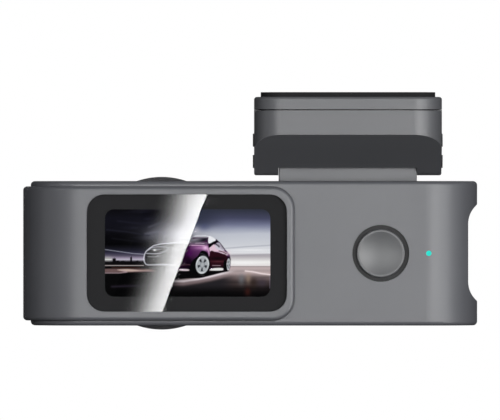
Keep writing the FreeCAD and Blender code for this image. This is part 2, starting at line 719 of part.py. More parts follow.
# ---------------------------------------------------------------- button
def button_ring():
    ring = rod_y(BUTTON_X, MID_Z, RING_R, RING_Y)
    return ring.cut(rod_y(BUTTON_X, MID_Z, BUTTON_R + 0.07, RING_Y))


def button_cap():
    """Dished cap with a flange behind the ring that keeps it in."""
    flange_y = (RING_Y[1] + FIT, CAP_Y[1])
    cap = rod_y(BUTTON_X, MID_Z, BUTTON_R, CAP_Y)
    rim = edges_where(cap, lambda edge: flat_at(edge, "Y", CAP_Y[0]))
    cap = cap.makeFillet(0.25, rim)
    cap = cap.fuse(rod_y(BUTTON_X, MID_Z, 5.9, flange_y)).removeSplitter()
    ball_r = (DISH_R ** 2 + DISH_DEPTH ** 2) / (2 * DISH_DEPTH)
    ball = Part.makeSphere(ball_r, V(BUTTON_X, CAP_Y[0] + DISH_DEPTH - ball_r, MID_Z))
    return cap.cut(ball)


def switch_plunger():
    return rod_y(BUTTON_X, MID_Z, PLUNGER_R, (CAP_Y[1], CAP_Y[1] + 1.2))


def tact_switch():
    body = box((BUTTON_X - 3, BUTTON_X + 3), SWITCH_Y, (MID_Z - 3, MID_Z + 3))
    well = (SWITCH_Y[0] - 1, SWITCH_Y[1] - 0.6)
    return body.cut(rod_y(BUTTON_X, MID_Z, PLUNGER_R + 0.07, well))


def button_board():
    return seen_from_cabin((1.0, 20.5), BUTTON_BOARD_Y, (MID_Z - 7, MID_Z + 7), 1.0)


def button_flex():
    return box((2.0, 6.0), (BUTTON_BOARD_Y[1], BOARD_Y[0]), (MID_Z - 6.0, MID_Z - 5.7))


def status_led():
    return box((LIGHT_X - 0.8, LIGHT_X + 0.8), (-7.8, BUTTON_BOARD_Y[0]), (MID_Z - 0.4, MID_Z + 0.4))


def light_pipe():
    stem = rod_y(LIGHT_X, MID_Z, LIGHT_R, (-11.95, -8.0))
    return stem.fuse(rod_y(LIGHT_X, MID_Z, COLLAR_R, COLLAR_Y)).removeSplitter()


NODES = {
    "adhesive_pad": adhesive_pad,
    "mount_plate": mount_plate,
    "hinge_block": hinge_block,
    "hinge_pin": hinge_pin,
    "hinge_cap_left": lambda: hinge_cap(-1),
    "hinge_cap_right": lambda: hinge_cap(1),
    "friction_washers": friction_washers,
    "hinge_tongue": hinge_tongue,
    "tongue_screws": tongue_screws,
    "cabin_shell": cabin_shell,
    "road_shell": road_shell,
    "shell_screws": shell_screws,
    "screen_cover": screen_cover,
    "screen_glass": screen_glass,
    "lcd_frame": lcd_frame,
    "lcd_panel": lcd_panel,
    "backlight_tray": backlight_tray,
    "display_flex": display_flex,
    "sensor_board": sensor_board,
    "image_sensor": image_sensor,
    "sensor_flex": sensor_flex,
    "lens_holder": lens_holder,
    "holder_screws": holder_screws,
    "lens_barrel": lens_barrel,
    "rear_lens_element": rear_lens_element,
    "front_lens_element": front_lens_element,
    "lens_bezel": lens_bezel,
    "lens_baffle": lens_baffle,
    "main_board": main_board,
    "board_screws": board_screws,
    "processor": processor,
    "memory_chip": memory_chip,
    "thermal_pad": thermal_pad,
    "heat_sink": heat_sink,
    "microsd_socket": microsd_socket,
    "memory_card": memory_card,
    "usb_c_receptacle": usb_c_receptacle,
    "supercapacitor_upper": lambda: supercapacitor(MID_Z + CAPACITOR_RISE),
    "supercapacitor_lower": lambda: supercapacitor(MID_Z - CAPACITOR_RISE),
    "speaker": speaker,
    "microphone": microphone,
    "button_ring": button_ring,
    "button_cap": button_cap,
    "switch_plunger": switch_plunger,
    "tact_switch": tact_switch,
    "button_board": button_board,
    "button_flex": button_flex,
    "status_led": status_led,
    "light_pipe": light_pipe,
}

os.makedirs("parts", exist_ok=True)
for name, make in NODES.items():
    shape = make()
    shape.translate(ALONG_Y * HINGE_Y)
    print(name, len(shape.Solids), shape.isValid(), round(shape.Volume, 2))
    shape.exportStep("parts/" + name + ".step")
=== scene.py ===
"""Looks for the dash camera: materials, including lens glass and port metal, the lit screen, and a plain
studio.
"""
import math

import bmesh
import bpy
import numpy as np
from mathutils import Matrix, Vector


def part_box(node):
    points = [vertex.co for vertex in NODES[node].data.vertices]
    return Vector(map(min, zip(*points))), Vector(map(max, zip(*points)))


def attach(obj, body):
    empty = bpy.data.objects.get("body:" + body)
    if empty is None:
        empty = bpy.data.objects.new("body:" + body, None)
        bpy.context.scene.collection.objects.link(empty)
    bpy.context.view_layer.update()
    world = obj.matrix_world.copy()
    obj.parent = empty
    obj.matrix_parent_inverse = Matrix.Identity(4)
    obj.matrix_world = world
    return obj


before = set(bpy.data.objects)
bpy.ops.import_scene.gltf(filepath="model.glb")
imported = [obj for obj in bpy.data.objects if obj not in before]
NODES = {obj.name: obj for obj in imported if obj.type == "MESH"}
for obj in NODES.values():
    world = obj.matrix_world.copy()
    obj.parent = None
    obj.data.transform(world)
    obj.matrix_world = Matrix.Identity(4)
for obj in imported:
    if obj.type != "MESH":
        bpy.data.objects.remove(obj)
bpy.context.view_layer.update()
MM = 0.001


def put(name, data):
    """A new object in the scene."""
    made = bpy.data.objects.new(name, data)
    bpy.context.scene.collection.objects.link(made)
    return made


# ------------------------------------------------------------------ node helpers
def linear(values):
    """Linear light from 0-255 display values."""
    share = np.asarray(values, float) / 255
    return np.where(share <= 0.04045, share / 12.92, ((share + 0.055) / 1.055) ** 2.4)


def srgb(red, green, blue):
    """Linear colour, with alpha, from 0-255 display values."""
    return tuple(linear((red, green, blue)).tolist()) + (1.0,)


def new_material(name):
    material = bpy.data.materials.new(name)
    material.use_nodes = True
    tree = material.node_tree
    tree.nodes.clear()
    output = tree.nodes.new("ShaderNodeOutputMaterial")
    return material, tree, output


def node(tree, kind, **values):
    made = tree.nodes.new("ShaderNode" + kind)
    for key, value in values.items():
        if key in made.inputs:
            made.inputs[key].default_value = value
        else:
            setattr(made, key, value)
    return made


def place_coords(tree, scale):
    """Object coordinates, stretched so that a texture's scale is in features per metre."""
    coords = node(tree, "TexCoord")
    mapping = node(tree, "Mapping")
    mapping.inputs["Scale"].default_value = scale if hasattr(scale, "__len__") else (scale,) * 3
    tree.links.new(coords.outputs["Object"], mapping.inputs["Vector"])
    return mapping.outputs["Vector"]


def noise(tree, scale, detail=2.0):
    made = node(tree, "TexNoise", Scale=1.0, Detail=detail, Roughness=0.5)
    tree.links.new(place_coords(tree, scale), made.inputs["Vector"])
    return made.outputs["Fac"]


def spread(tree, value, low, high):
    """Maps a 0.3-0.7 noise value onto low-high."""
    made = node(tree, "MapRange")
    made.inputs["From Min"].default_value = 0.3
    made.inputs["From Max"].default_value = 0.7
    made.inputs["To Min"].default_value = low
    made.inputs["To Max"].default_value = high
    tree.links.new(value, made.inputs["Value"])
    return made.outputs["Result"]


def tinted(tree, colour, value, low, high):
    """The colour, made darker or lighter by a noise value."""
    mix = node(tree, "Mix", data_type="RGBA")
    mix.inputs["A"].default_value = tuple(c * low for c in colour[:3]) + (1,)
    mix.inputs["B"].default_value = tuple(min(1, c * high) for c in colour[:3]) + (1,)
    tree.links.new(value, mix.inputs["Factor"])
    return mix.outputs["Result"]


def bump(tree, height, strength, distance, below=None):
    made = node(tree, "Bump", Strength=strength, Distance=distance)
    tree.links.new(height, made.inputs["Height"])
    if below is not None:
        tree.links.new(below, made.inputs["Normal"])
    return made.outputs["Normal"]


def surface(name, colour, rough, metal=0.0, grain=3000, grain_depth=0.00001, mottle=60, rough_swing=0.04,
            tint=(0.94, 1.06), spec=0.5, grain_strength=0.35):
    """Principled surface with moulded or cast grain, faint mottling and uneven gloss."""
    material, tree, output = new_material(name)
    shader = node(tree, "BsdfPrincipled", Metallic=metal)
    shader.inputs["Specular IOR Level"].default_value = spec
    fine = noise(tree, grain, 3.0)
    wide = noise(tree, mottle, 2.0)
    tree.links.new(tinted(tree, colour, wide, *tint), shader.inputs["Base Color"])
    tree.links.new(spread(tree, wide, rough - rough_swing, rough + rough_swing), shader.inputs["Roughness"])
    tree.links.new(bump(tree, fine, grain_strength, grain_depth), shader.inputs["Normal"])
    tree.links.new(shader.outputs[0], output.inputs["Surface"])
    return material, tree, shader


def paint(names, material):
    """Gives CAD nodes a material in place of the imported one."""
    for name in names:
        data = NODES[name].data
        data.materials.clear()
        data.materials.append(material)


# ------------------------------------------------------------------ materials
def make_plastics():
    housing = surface("housing_grey", srgb(77, 78, 82), 0.42, grain=5200, grain_depth=0.00001, mottle=45)[0]
    mount = surface("mount_grey", srgb(76, 77, 80), 0.42, grain=5200, grain_depth=0.00001, mottle=45)[0]
    button = surface("button_grey", srgb(70, 71, 73), 0.40, grain=6500, grain_depth=0.000006, mottle=80)[0]
    cap = surface("cap_black", srgb(40, 40, 42), 0.38, grain=5200, mottle=90)[0]
    # The button ring's dark colour is partly its own and partly painted shade for the groove round the
    # button.
    ring = surface("ring_black_and_groove_shade", srgb(38, 38, 39), 0.58, grain=7000, grain_depth=0.000004,
                   mottle=200, spec=0.2)[0]
    matte = surface("lens_black", srgb(22, 22, 23), 0.62, grain=6000, grain_depth=0.00002, mottle=120)[0]
    chip = surface("chip_black", srgb(30, 30, 32), 0.55, grain=8000, grain_depth=0.00001, mottle=300)[0]
    nylon = surface("nylon_white", srgb(205, 202, 192), 0.45, grain=4000, mottle=100)[0]
    card = surface("card_black", srgb(30, 31, 34), 0.42, grain=7000, grain_depth=0.00001, mottle=200)[0]
    sleeve = surface("capacitor_blue", srgb(34, 40, 70), 0.30, grain=2500, mottle=100)[0]
    paint(["cabin_shell", "road_shell", "screen_cover"], housing)
    paint(["mount_plate", "hinge_block", "hinge_tongue"], mount)
    paint(["button_cap"], button)
    paint(["hinge_cap_left", "hinge_cap_right"], cap)
    paint(["button_ring"], ring)
    paint(["lens_holder", "lens_baffle", "lcd_frame"], matte)
    paint(["processor", "memory_chip", "tact_switch"], chip)
    paint(["friction_washers", "switch_plunger"], nylon)
    paint(["memory_card"], card)
    paint(["supercapacitor_upper", "supercapacitor_lower"], sleeve)


def make_metals():
    steel = surface("turned_steel", srgb(190, 190, 194), 0.28, 1.0, grain=(400, 9000, 9000), mottle=300)[0]
    black = surface("black_screw", srgb(62, 62, 66), 0.34, 1.0, grain=7000, mottle=600)[0]
    tray = surface("stamped_aluminium", srgb(188, 190, 194), 0.36, 1.0, grain=(8000, 600, 8000),
                   mottle=150)[0]
    bezel = surface("anodised_bezel", srgb(30, 30, 32), 0.34, 0.7, grain=6000, grain_depth=0.000008,
                    mottle=80)[0]
    nickel = surface("nickel_shell", srgb(205, 204, 200), 0.24, 1.0, grain=(600, 8000, 8000), mottle=400)[0]
    can = surface("speaker_can", srgb(70, 70, 74), 0.40, 0.8, grain=5000, mottle=200)[0]
    paint(["hinge_pin"], steel)
    paint(["tongue_screws", "holder_screws", "board_screws", "shell_screws"], black)
    paint(["backlight_tray", "heat_sink"], tray)
    paint(["lens_bezel", "lens_barrel"], bezel)
    paint(["microsd_socket", "usb_c_receptacle", "microphone"], nickel)
    paint(["speaker"], can)


def make_boards():
    mask = surface("solder_mask", srgb(18, 84, 52), 0.30, grain=900, grain_depth=0.00003, mottle=260,
                   tint=(0.7, 1.3))[0]
    film = surface("amber_film", srgb(176, 104, 40), 0.28, grain=2500, mottle=500, tint=(0.8, 1.15))[0]
    pad = surface("silicone_pad", srgb(120, 142, 158), 0.70, grain=3500, grain_depth=0.00003, mottle=200)[0]
    resin = surface("led_resin", srgb(225, 222, 196), 0.30, grain=5000, mottle=500)[0]
    paint(["main_board", "sensor_board", "button_board"], mask)
    paint(["display_flex", "sensor_flex", "button_flex"], film)
    paint(["thermal_pad"], pad)
    paint(["status_led"], resin)


def make_foam():
    """Closed-cell foam: pores cut into a black rubbery surface."""
    material, tree, shader = surface("foam_black", srgb(30, 30, 31), 0.85, grain=2600, grain_depth=0.00006,
                                     mottle=90, spec=0.1, grain_strength=0.8)
    cells = node(tree, "TexVoronoi", Scale=1.0)
    tree.links.new(place_coords(tree, 2200), cells.inputs["Vector"])
    grain = shader.inputs["Normal"].links[0].from_socket
    tree.links.new(bump(tree, cells.outputs["Distance"], 0.6, 0.00008, grain), shader.inputs["Normal"])
    paint(["adhesive_pad"], material)


def make_glass():
    """Clear cover glass: a mirror over a see-through pane, with faint smears in its gloss."""
    material, tree, output = new_material("cover_glass")
    facing = node(tree, "LayerWeight", Blend=0.5)
    steep = node(tree, "Math", operation="POWER")
    steep.inputs[1].default_value = 5.0
    share = node(tree, "MapRange")
    share.inputs["To Min"].default_value = 0.04
    share.inputs["To Max"].default_value = 1.0
    side = node(tree, "NewGeometry")
    front = node(tree, "MapRange")
    front.inputs["To Min"].default_value = 1.0
    front.inputs["To Max"].default_value = 0.0
    only_front = node(tree, "Math", operation="MULTIPLY")
    clear = node(tree, "BsdfTransparent", Color=(0.985, 0.99, 0.99, 1))
    gloss = node(tree, "BsdfAnisotropic", Color=(1, 1, 1, 1))
    mix = node(tree, "MixShader")
    tree.links.new(spread(tree, noise(tree, 90, 3.0), 0.0, 0.008), gloss.inputs["Roughness"])
    tree.links.new(facing.outputs["Facing"], steep.inputs[0])
    tree.links.new(steep.outputs[0], share.inputs["Value"])
    tree.links.new(side.outputs["Backfacing"], front.inputs["Value"])
    tree.links.new(share.outputs["Result"], only_front.inputs[0])
    tree.links.new(front.outputs["Result"], only_front.inputs[1])
    tree.links.new(only_front.outputs[0], mix.inputs[0])
    tree.links.new(clear.outputs[0], mix.inputs[1])
    tree.links.new(gloss.outputs[0], mix.inputs[2])
    tree.links.new(mix.outputs[0], output.inputs["Surface"])
    paint(["screen_glass"], material)


def make_lens_glass():
    """Coated optics: clear glass whose reflections turn from violet to green with angle."""
    material, tree, output = new_material("coated_lens")
    facing = node(tree, "LayerWeight", Blend=0.35)
    coating = node(tree, "ValToRGB")
    coating.color_ramp.elements[0].color = (0.35, 0.22, 0.95, 1)
    coating.color_ramp.elements[1].color = (0.9, 0.95, 1.0, 1)
    green = coating.color_ramp.elements.new(0.35)
    green.color = (0.15, 0.75, 0.45, 1)
    glass = node(tree, "BsdfPrincipled", Roughness=0.02, IOR=1.52)
    glass.inputs["Transmission Weight"].default_value = 1.0
    glass.inputs["Base Color"].default_value = (0.85, 0.9, 1.0, 1)
    gloss = node(tree, "BsdfAnisotropic", Roughness=0.03)
    mix = node(tree, "MixShader")
    dust = noise(tree, 1800, 2.0)
    tree.links.new(spread(tree, dust, 0.01, 0.05), gloss.inputs["Roughness"])
    tree.links.new(bump(tree, noise(tree, 300, 1.0), 0.02, 0.000005), gloss.inputs["Normal"])
    share = node(tree, "MapRange")
    share.inputs["To Min"].default_value = 0.10
    share.inputs["To Max"].default_value = 0.55
    tree.links.new(facing.outputs["Facing"], share.inputs["Value"])
    tree.links.new(facing.outputs["Facing"], coating.inputs["Fac"])
    tree.links.new(coating.outputs["Color"], gloss.inputs["Color"])
    tree.links.new(share.outputs["Result"], mix.inputs[0])
    tree.links.new(glass.outputs[0], mix.inputs[1])
    tree.links.new(gloss.outputs[0], mix.inputs[2])
    tree.links.new(mix.outputs[0], output.inputs["Surface"])
    paint(["front_lens_element", "rear_lens_element", "image_sensor"], material)


def make_panel():
    """Polariser over a dark panel."""
    material = surface("display_panel", srgb(16, 18, 26), 0.20, grain=4000, grain_depth=0.000003,
                       mottle=150)[0]
    paint(["lcd_panel"], material)


def make_light_guide():
    """Clear guide lit cyan from behind, its glow a little uneven at random."""
    material, tree, shader = surface("light_guide", srgb(4, 60, 56), 0.45, grain=5000,
                                     grain_depth=0.000003, spec=0.1)
    glow = tinted(tree, srgb(36, 246, 228), noise(tree, 2500, 1.0), 0.9, 1.1)
    tree.links.new(glow, shader.inputs["Emission Color"])
    shader.inputs["Emission Strength"].default_value = 0.72
    paint(["light_pipe"], material)


# ------------------------------------------------------------------ mesh helpers
def add_mesh(name, verts, faces, material, body):
    data = bpy.data.meshes.new(name)
    data.from_pydata([tuple(v) for v in verts], [], faces)
    data.update()
    data.materials.append(material)
    made = put(name, data)
    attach(made, body)
    return made


def rounded_loop(low, high, radius, steps=10):
    """Points of a rounded rectangle in X and Z, anticlockwise seen from -Y."""
    points = []
    corners = ((high[0], low[1], -90), (high[0], high[1], 0), (low[0], high[1], 90), (low[0], low[1], 180))
    for x, z, start in corners:
        centre_x = x - radius if x == high[0] else x + radius
        centre_z = z - radius if z == high[1] else z + radius
        for step in range(steps + 1):
            angle = math.radians(start + 90 * step / steps)
            points.append((centre_x + radius * math.cos(angle), centre_z + radius * math.sin(angle)))
    return points


# ------------------------------------------------------------------ picture on the screen
def smooth_closed(points, steps=8):
    """Closed curve through the points."""
    points = np.array(points, float)
    count = len(points)
    out = []
    for index in range(count):
        p0, p1, p2, p3 = (points[(index + shift) % count] for shift in (-1, 0, 1, 2))
        for step in range(steps):
            t = step / steps
            out.append(0.5 * (2 * p1 + (p2 - p0) * t + (2 * p0 - 5 * p1 + 4 * p2 - p3) * t ** 2
                              + (3 * p1 - p0 - 3 * p2 + p3) * t ** 3))
    return np.array(out)


TINY = 1e-12


def away(x, y, start, end):
    """How far each point is from the straight run between two points."""
    along = end - start
    size = max(float(along @ along), TINY)
    t = np.clip(((x - start[0]) * along[0] + (y - start[1]) * along[1]) / size, 0, 1)
    return np.hypot(x - start[0] - t * along[0], y - start[1] - t * along[1])


def cover(loop, x, y, soft=0.006):
    """How much of a closed shape covers each point: 1 inside, 0 outside, soft at the edge."""
    nearest = np.full(x.shape, 1e9)
    inside = np.zeros(x.shape, bool)
    for start, end in zip(loop, np.roll(loop, -1, axis=0)):
        nearest = np.minimum(nearest, away(x, y, start, end))
        crosses = (start[1] > y) != (end[1] > y)
        run, rise = end - start
        if abs(rise) <= TINY:
            rise = TINY
        inside ^= crosses & (x < start[0] + (y - start[1]) * run / rise)
    signed = np.where(inside, nearest, -nearest)
    return np.clip(signed / soft + 0.5, 0, 1)


def ease(value, low, high):
    t = np.clip((value - low) / (high - low), 0, 1)
    return t * t * (3 - 2 * t)


def blob(x, y, centre, size, turn=0.0):
    """Soft round spot, 1 in its middle."""
    c, s = math.cos(turn), math.sin(turn)
    dx, dy = x - centre[0], y - centre[1]
    along = (dx * c + dy * s) / size[0]
    across = (-dx * s + dy * c) / size[1]
    return np.exp(-(along ** 2 + across ** 2))


def wave_noise(x, y, seed, octaves=5):
    """Smooth cloud-like noise from a sum of turned waves."""
    waves_per_octave, fainter, finer, level = 4, 0.55, 1.9, 6
    rng = np.random.default_rng(seed)
    total = np.zeros(x.shape)
    weight, scale = 1.0, 2.5
    for octave in range(octaves):
        for wave in range(waves_per_octave):
            angle = rng.uniform(0, math.pi)
            phase = rng.uniform(0, 2 * math.pi)
            total += weight * np.sin(scale * (x * math.cos(angle) + y * math.sin(angle)) * math.pi + phase)
        weight *= fainter
        scale *= finer
    return total / level


class Canvas:
    """Colours on a grid of points; x runs 0 to the aspect ratio and y runs 0 to 1, upwards."""

    def __init__(self, x, y):
        self.x, self.y = x, y
        self.colour = np.zeros(x.shape + (3,))

    def lay(self, colour, amount):
        colour = np.array(colour, float)
        amount = np.asarray(amount, float)[..., None]
        self.colour = self.colour * (1 - amount) + colour * amount

    def add(self, colour, amount):
        self.colour = self.colour + np.array(colour, float) * np.asarray(amount, float)[..., None]


def shape(art, colour, points, amount=1.0, soft=0.006):
    """A filled shape with a rounded outline."""
    art.lay(colour, amount * cover(smooth_closed(points), art.x, art.y, soft))


def line(art, colour, points, width, amount=1.0):
    """A soft line through the points."""
    nearest = np.full(art.x.shape, 1e9)
    points = np.array(points, float)
    for start, end in zip(points[:-1], points[1:]):
        nearest = np.minimum(nearest, away(art.x, art.y, start, end))
    art.lay(colour, amount * np.exp(-(nearest / width) ** 2))


def spot(art, colour, centre, size, amount=1.0, turn=0.0):
    art.lay(colour, amount * blob(art.x, art.y, centre, size, turn))


def by_height(y, stops):
    """Colour that runs through (height, red, green, blue) stops."""
    heights = [stop[0] for stop in stops]
    return np.stack([np.interp(y, heights, [stop[channel] for stop in stops]) for channel in (1, 2, 3)], -1)


NIGHT_SIDE = ((0.0, 4, 4, 5), (0.27, 5, 5, 6), (0.345, 12, 8, 8), (0.40, 10, 8, 12), (0.425, 190, 184, 200),
              (0.445, 150, 138, 160), (0.47, 84, 78, 96), (0.505, 46, 44, 62), (0.53, 30, 30, 42),
              (0.60, 1, 1, 3), (0.70, 5, 5, 9), (0.78, 14, 14, 22), (0.90, 16, 16, 25), (1.0, 8, 8, 12))
DAWN_SIDE = ((0.0, 2, 2, 3), (0.06, 12, 10, 11), (0.13, 44, 36, 36), (0.20, 92, 78, 78),
             (0.26, 158, 142, 142), (0.335, 196, 178, 178), (0.346, 150, 136, 136), (0.356, 232, 226, 226),
             (0.40, 244, 242, 240), (0.47, 172, 166, 172), (0.50, 228, 228, 232), (0.60, 208, 210, 217),
             (0.72, 194, 197, 208), (0.78, 152, 156, 176), (0.83, 112, 116, 142), (0.90, 70, 72, 96),
             (1.0, 47, 50, 62))
CLOUD_BANKS = (
    ([(0.50, 0.795), (0.60, 0.835), (0.67, 0.842), (0.78, 0.81)], 0.012, (84, 84, 98)),
    ([(0.46, 0.715), (0.58, 0.742), (0.72, 0.73)], 0.016, (106, 106, 120)),
    ([(0.02, 0.765), (0.25, 0.742), (0.50, 0.70)], 0.011, (38, 38, 50)),
    ([(0.08, 0.668), (0.30, 0.640), (0.46, 0.628)], 0.010, (24, 24, 32)),
    ([(0.15, 0.865), (0.40, 0.835), (0.55, 0.85)], 0.014, (32, 32, 44)),
)


def paint_backdrop(art):
    """Night sky on one side, first light on the other, over a dark road."""
    x, y = art.x, art.y
    drift = 0.012 * wave_noise(x * 0.5, y * 2.5, 9)
    dawn = ease(x - 0.35 * np.clip(y, 0, 0.6), 0.72, 0.84)[..., None]
    night_sky = by_height(y, NIGHT_SIDE)
    dawn_sky = by_height(y + drift * ease(y, 0.4, 0.6), DAWN_SIDE)
    art.colour = night_sky * (1 - dawn) + dawn_sky * dawn
    streak = np.clip(wave_noise(x * 0.9 + y * 0.8, y * 4.2 - x * 0.5, 3), 0, 1)
    art.add((24, 24, 31), streak * ease(x, 0.1, 0.5) * ease(y, 0.56, 0.7) * ease(-x, -1.1, -0.8))
    spot(art, (140, 140, 148), (0.80, 0.71), (0.31, 0.125))
    spot(art, (84, 84, 96), (0.56, 0.715), (0.10, 0.045), 0.7, 0.35)
    art.lay((44, 48, 64), ease(y, 0.75, 0.86) * ease(-x, -1.42, -1.06) * ease(x, 0.85, 1.0) * 0.75)
    spot(art, (64, 70, 108), (1.13, 0.80), (0.07, 0.045), 0.45)
    spot(art, (190, 188, 200), (1.035, 0.755), (0.04, 0.04), 0.55, 0.9)
    for path, width, colour in CLOUD_BANKS:
        line(art, colour, path, width, 0.5)
    line(art, (166, 168, 180), [(1.36, 0.553), (1.60, 0.572), (1.90, 0.590)], 0.007, 0.7)
    line(art, (160, 156, 164), [(1.43, 0.470), (1.60, 0.478), (1.90, 0.487)], 0.006, 0.7)
    spot(art, (250, 250, 252), (1.66, 0.535), (0.20, 0.010), 0.6)
    spot(art, (250, 248, 248), (1.58, 0.388), (0.16, 0.018), 0.8)
    line(art, (168, 170, 186), [(-0.02, 0.543), (0.20, 0.512), (0.33, 0.494), (0.44, 0.487)], 0.0042, 0.9)


ROOFS = (
    (0.084, 0.128, 0.443), (0.126, 0.164, 0.418), (0.286, 0.312, 0.455), (0.294, 0.304, 0.474),
    (0.232, 0.440, 0.405), (0.10, 0.112, 0.452), (0.36, 0.384, 0.418),
)


def paint_skyline(art):
    """Dark roofs and treetops on the night side, over a lit kerb."""
    x, y = art.x, art.y
    west = ease(-x, -0.60, -0.46)
    art.lay((168, 168, 162), blob(x, y, (0.03, 0.432), (0.055, 0.028)) * 0.9)
    line(art, (232, 232, 232), [(-0.01, 0.427), (0.07, 0.427)], 0.005)
    for left, right, top in ROOFS:
        block = ease(x, left, left + 0.005) * ease(-x, -right, -right + 0.005) * ease(-y, -top, -top + 0.006)
        art.lay((10, 8, 12), block * ease(y, 0.37, 0.38))
    for centre, width, top in ((0.205, 0.040, 0.412), (0.02, 0.04, 0.400), (0.35, 0.03, 0.408)):
        art.lay((10, 8, 12), cover(ellipse((centre, 0.385), (width, top - 0.385)), x, y))
    art.lay((9, 8, 10), ease(y, 0.366, 0.370) * ease(-y, -0.396, -0.390) * west)
    line(art, (196, 184, 184), [(-0.01, 0.3585), (0.44, 0.3585)], 0.0052, 0.95)
    line(art, (66, 36, 30), [(0.08, 0.334), (0.40, 0.333)], 0.006, 0.8)


def paint_road(art):
    """Blurred road with a pale verge, a bright kerb line and warm reflections."""
    x, y = art.x, art.y
    shape(art, (114, 90, 90), [(-0.02, 0.318), (0.20, 0.322), (0.40, 0.322), (0.535, 0.316), (0.565, 0.290),
                               (0.42, 0.284), (0.20, 0.280), (-0.02, 0.282)], 0.95, 0.014)
    shape(art, (214, 190, 178), [(0.14, 0.310), (0.26, 0.318), (0.40, 0.305), (0.52, 0.301), (0.40, 0.294),
                                 (0.24, 0.290)], 0.8, 0.012)
    line(art, (176, 152, 158), [(-0.02, 0.273), (0.16, 0.273), (0.25, 0.283), (0.20, 0.300)], 0.006, 0.9)
    line(art, (40, 34, 46), [(0.08, 0.118), (0.30, 0.126), (0.52, 0.132)], 0.014, 0.8)
    speed = np.clip(wave_noise(x * 0.5, y * 12, 5), -1, 1)
    art.add((26, 22, 22), speed * ease(-y, -0.33, -0.28) * ease(x, 1.0, 1.3) * ease(y, 0.03, 0.2))
    crest = np.interp(x, (0.90, 1.066, 1.196, 1.353, 1.50), (0.180, 0.206, 0.232, 0.272, 0.300))
    below = crest - y
    near = ease(-x, -1.52, -1.30) * ease(x, 0.6, 0.9)
    art.lay((5, 5, 6), ease(below, 0.02, 0.085) * near * 0.95)
    art.add((28, 26, 29), ease(y, 0.03, 0.15) * ease(below, 0.03, 0.085) * near)
    art.lay((234, 222, 228), np.exp(-(below / 0.019) ** 2) * near * (0.75 + 0.25 * ease(x, 0.95, 1.1)))
    art.lay((150, 130, 134), np.exp(-((below - 0.035) / 0.02) ** 2) * near * 0.6)
    for colour, centre, size, amount in (((112, 118, 124), (1.555, 0.20), (0.035, 0.06), 0.6),
                                         ((158, 136, 118), (1.635, 0.21), (0.030, 0.06), 0.6),
                                         ((46, 35, 30), (1.695, 0.16), (0.040, 0.06), 0.7),
                                         ((60, 26, 22), (1.625, 0.06), (0.035, 0.05), 0.8),
                                         ((62, 54, 66), (1.79, 0.16), (0.060, 0.05), 0.6)):
        spot(art, colour, centre, size, amount)
    line(art, (246, 230, 230), [(1.60, 0.296), (1.687, 0.287), (1.785, 0.266), (1.90, 0.253)], 0.009, 0.95)
    line(art, (118, 112, 128), [(1.877, 0.10), (1.877, 0.235)], 0.0035, 0.8)


CAR_BODY = [(0.80, 0.318), (0.86, 0.420), (0.93, 0.560), (0.985, 0.640), (1.02, 0.698), (1.10, 0.706),
            (1.17, 0.703), (1.24, 0.667), (1.29, 0.634), (1.335, 0.585), (1.370, 0.540), (1.400, 0.510),
            (1.425, 0.468), (1.425, 0.330), (1.37, 0.306), (1.20, 0.308), (1.05, 0.296), (0.92, 0.310)]
CAR_SCREEN = [(0.974, 0.627), (0.984, 0.648), (1.02, 0.668), (1.09, 0.675), (1.166, 0.676), (1.152, 0.644),
              (1.08, 0.622), (1.00, 0.618)]
CAR_SIDE_GLASS = [(1.180, 0.612), (1.182, 0.690), (1.215, 0.688), (1.262, 0.652), (1.240, 0.630)]
CAR_REAR_GLASS = [(1.255, 0.600), (1.30, 0.618), (1.345, 0.560), (1.365, 0.530), (1.31, 0.532),
                  (1.265, 0.556)]
CAR_FLANK = [(1.200, 0.515), (1.26, 0.512), (1.34, 0.492), (1.385, 0.474), (1.388, 0.330), (1.20, 0.345)]
CAR_WING = [(0.975, 0.590), (1.06, 0.598), (1.16, 0.588), (1.185, 0.56), (1.185, 0.50), (1.13, 0.520),
            (1.08, 0.49), (1.055, 0.44), (1.02, 0.38), (0.97, 0.44)]
CAR_SHADOW = [(0.80, 0.300), (0.95, 0.306), (1.02, 0.275), (1.12, 0.246), (1.20, 0.300), (1.41, 0.300),
              (1.30, 0.270), (1.19, 0.242), (1.08, 0.216), (0.95, 0.212), (0.80, 0.212)]
WHEEL_ARCH = [(0.965, 0.300), (0.99, 0.40), (1.06, 0.47), (1.10, 0.525), (1.16, 0.510), (1.19, 0.43),
              (1.20, 0.34), (1.16, 0.262), (1.08, 0.250)]
FRONT_WHEEL = ((1.110, 0.366), (0.076, 0.104))
REAR_WHEEL = ((1.407, 0.372), (0.020, 0.068))
GHOST_NOSE = [(0.50, 0.372), (0.452, 0.43), (0.475, 0.51), (0.56, 0.578), (0.70, 0.604), (0.96, 0.61),
              (1.0, 0.50), (0.90, 0.30), (0.62, 0.30)]
GHOST_OUTLINE = [(0.98, 0.622), (0.80, 0.617), (0.64, 0.606), (0.555, 0.585), (0.505, 0.552), (0.468, 0.518),
                 (0.450, 0.482), (0.442, 0.438), (0.448, 0.402), (0.464, 0.374), (0.492, 0.365),
                 (0.62, 0.368), (0.86, 0.362)]


def ellipse(centre, size, steps=36, turn=0.0):
    around = np.linspace(0, 2 * math.pi, steps, endpoint=False)
    dx, dy = size[0] * np.cos(around), size[1] * np.sin(around)
    c, s = math.cos(turn), math.sin(turn)
    return np.stack([centre[0] + dx * c - dy * s, centre[1] + dx * s + dy * c], -1)


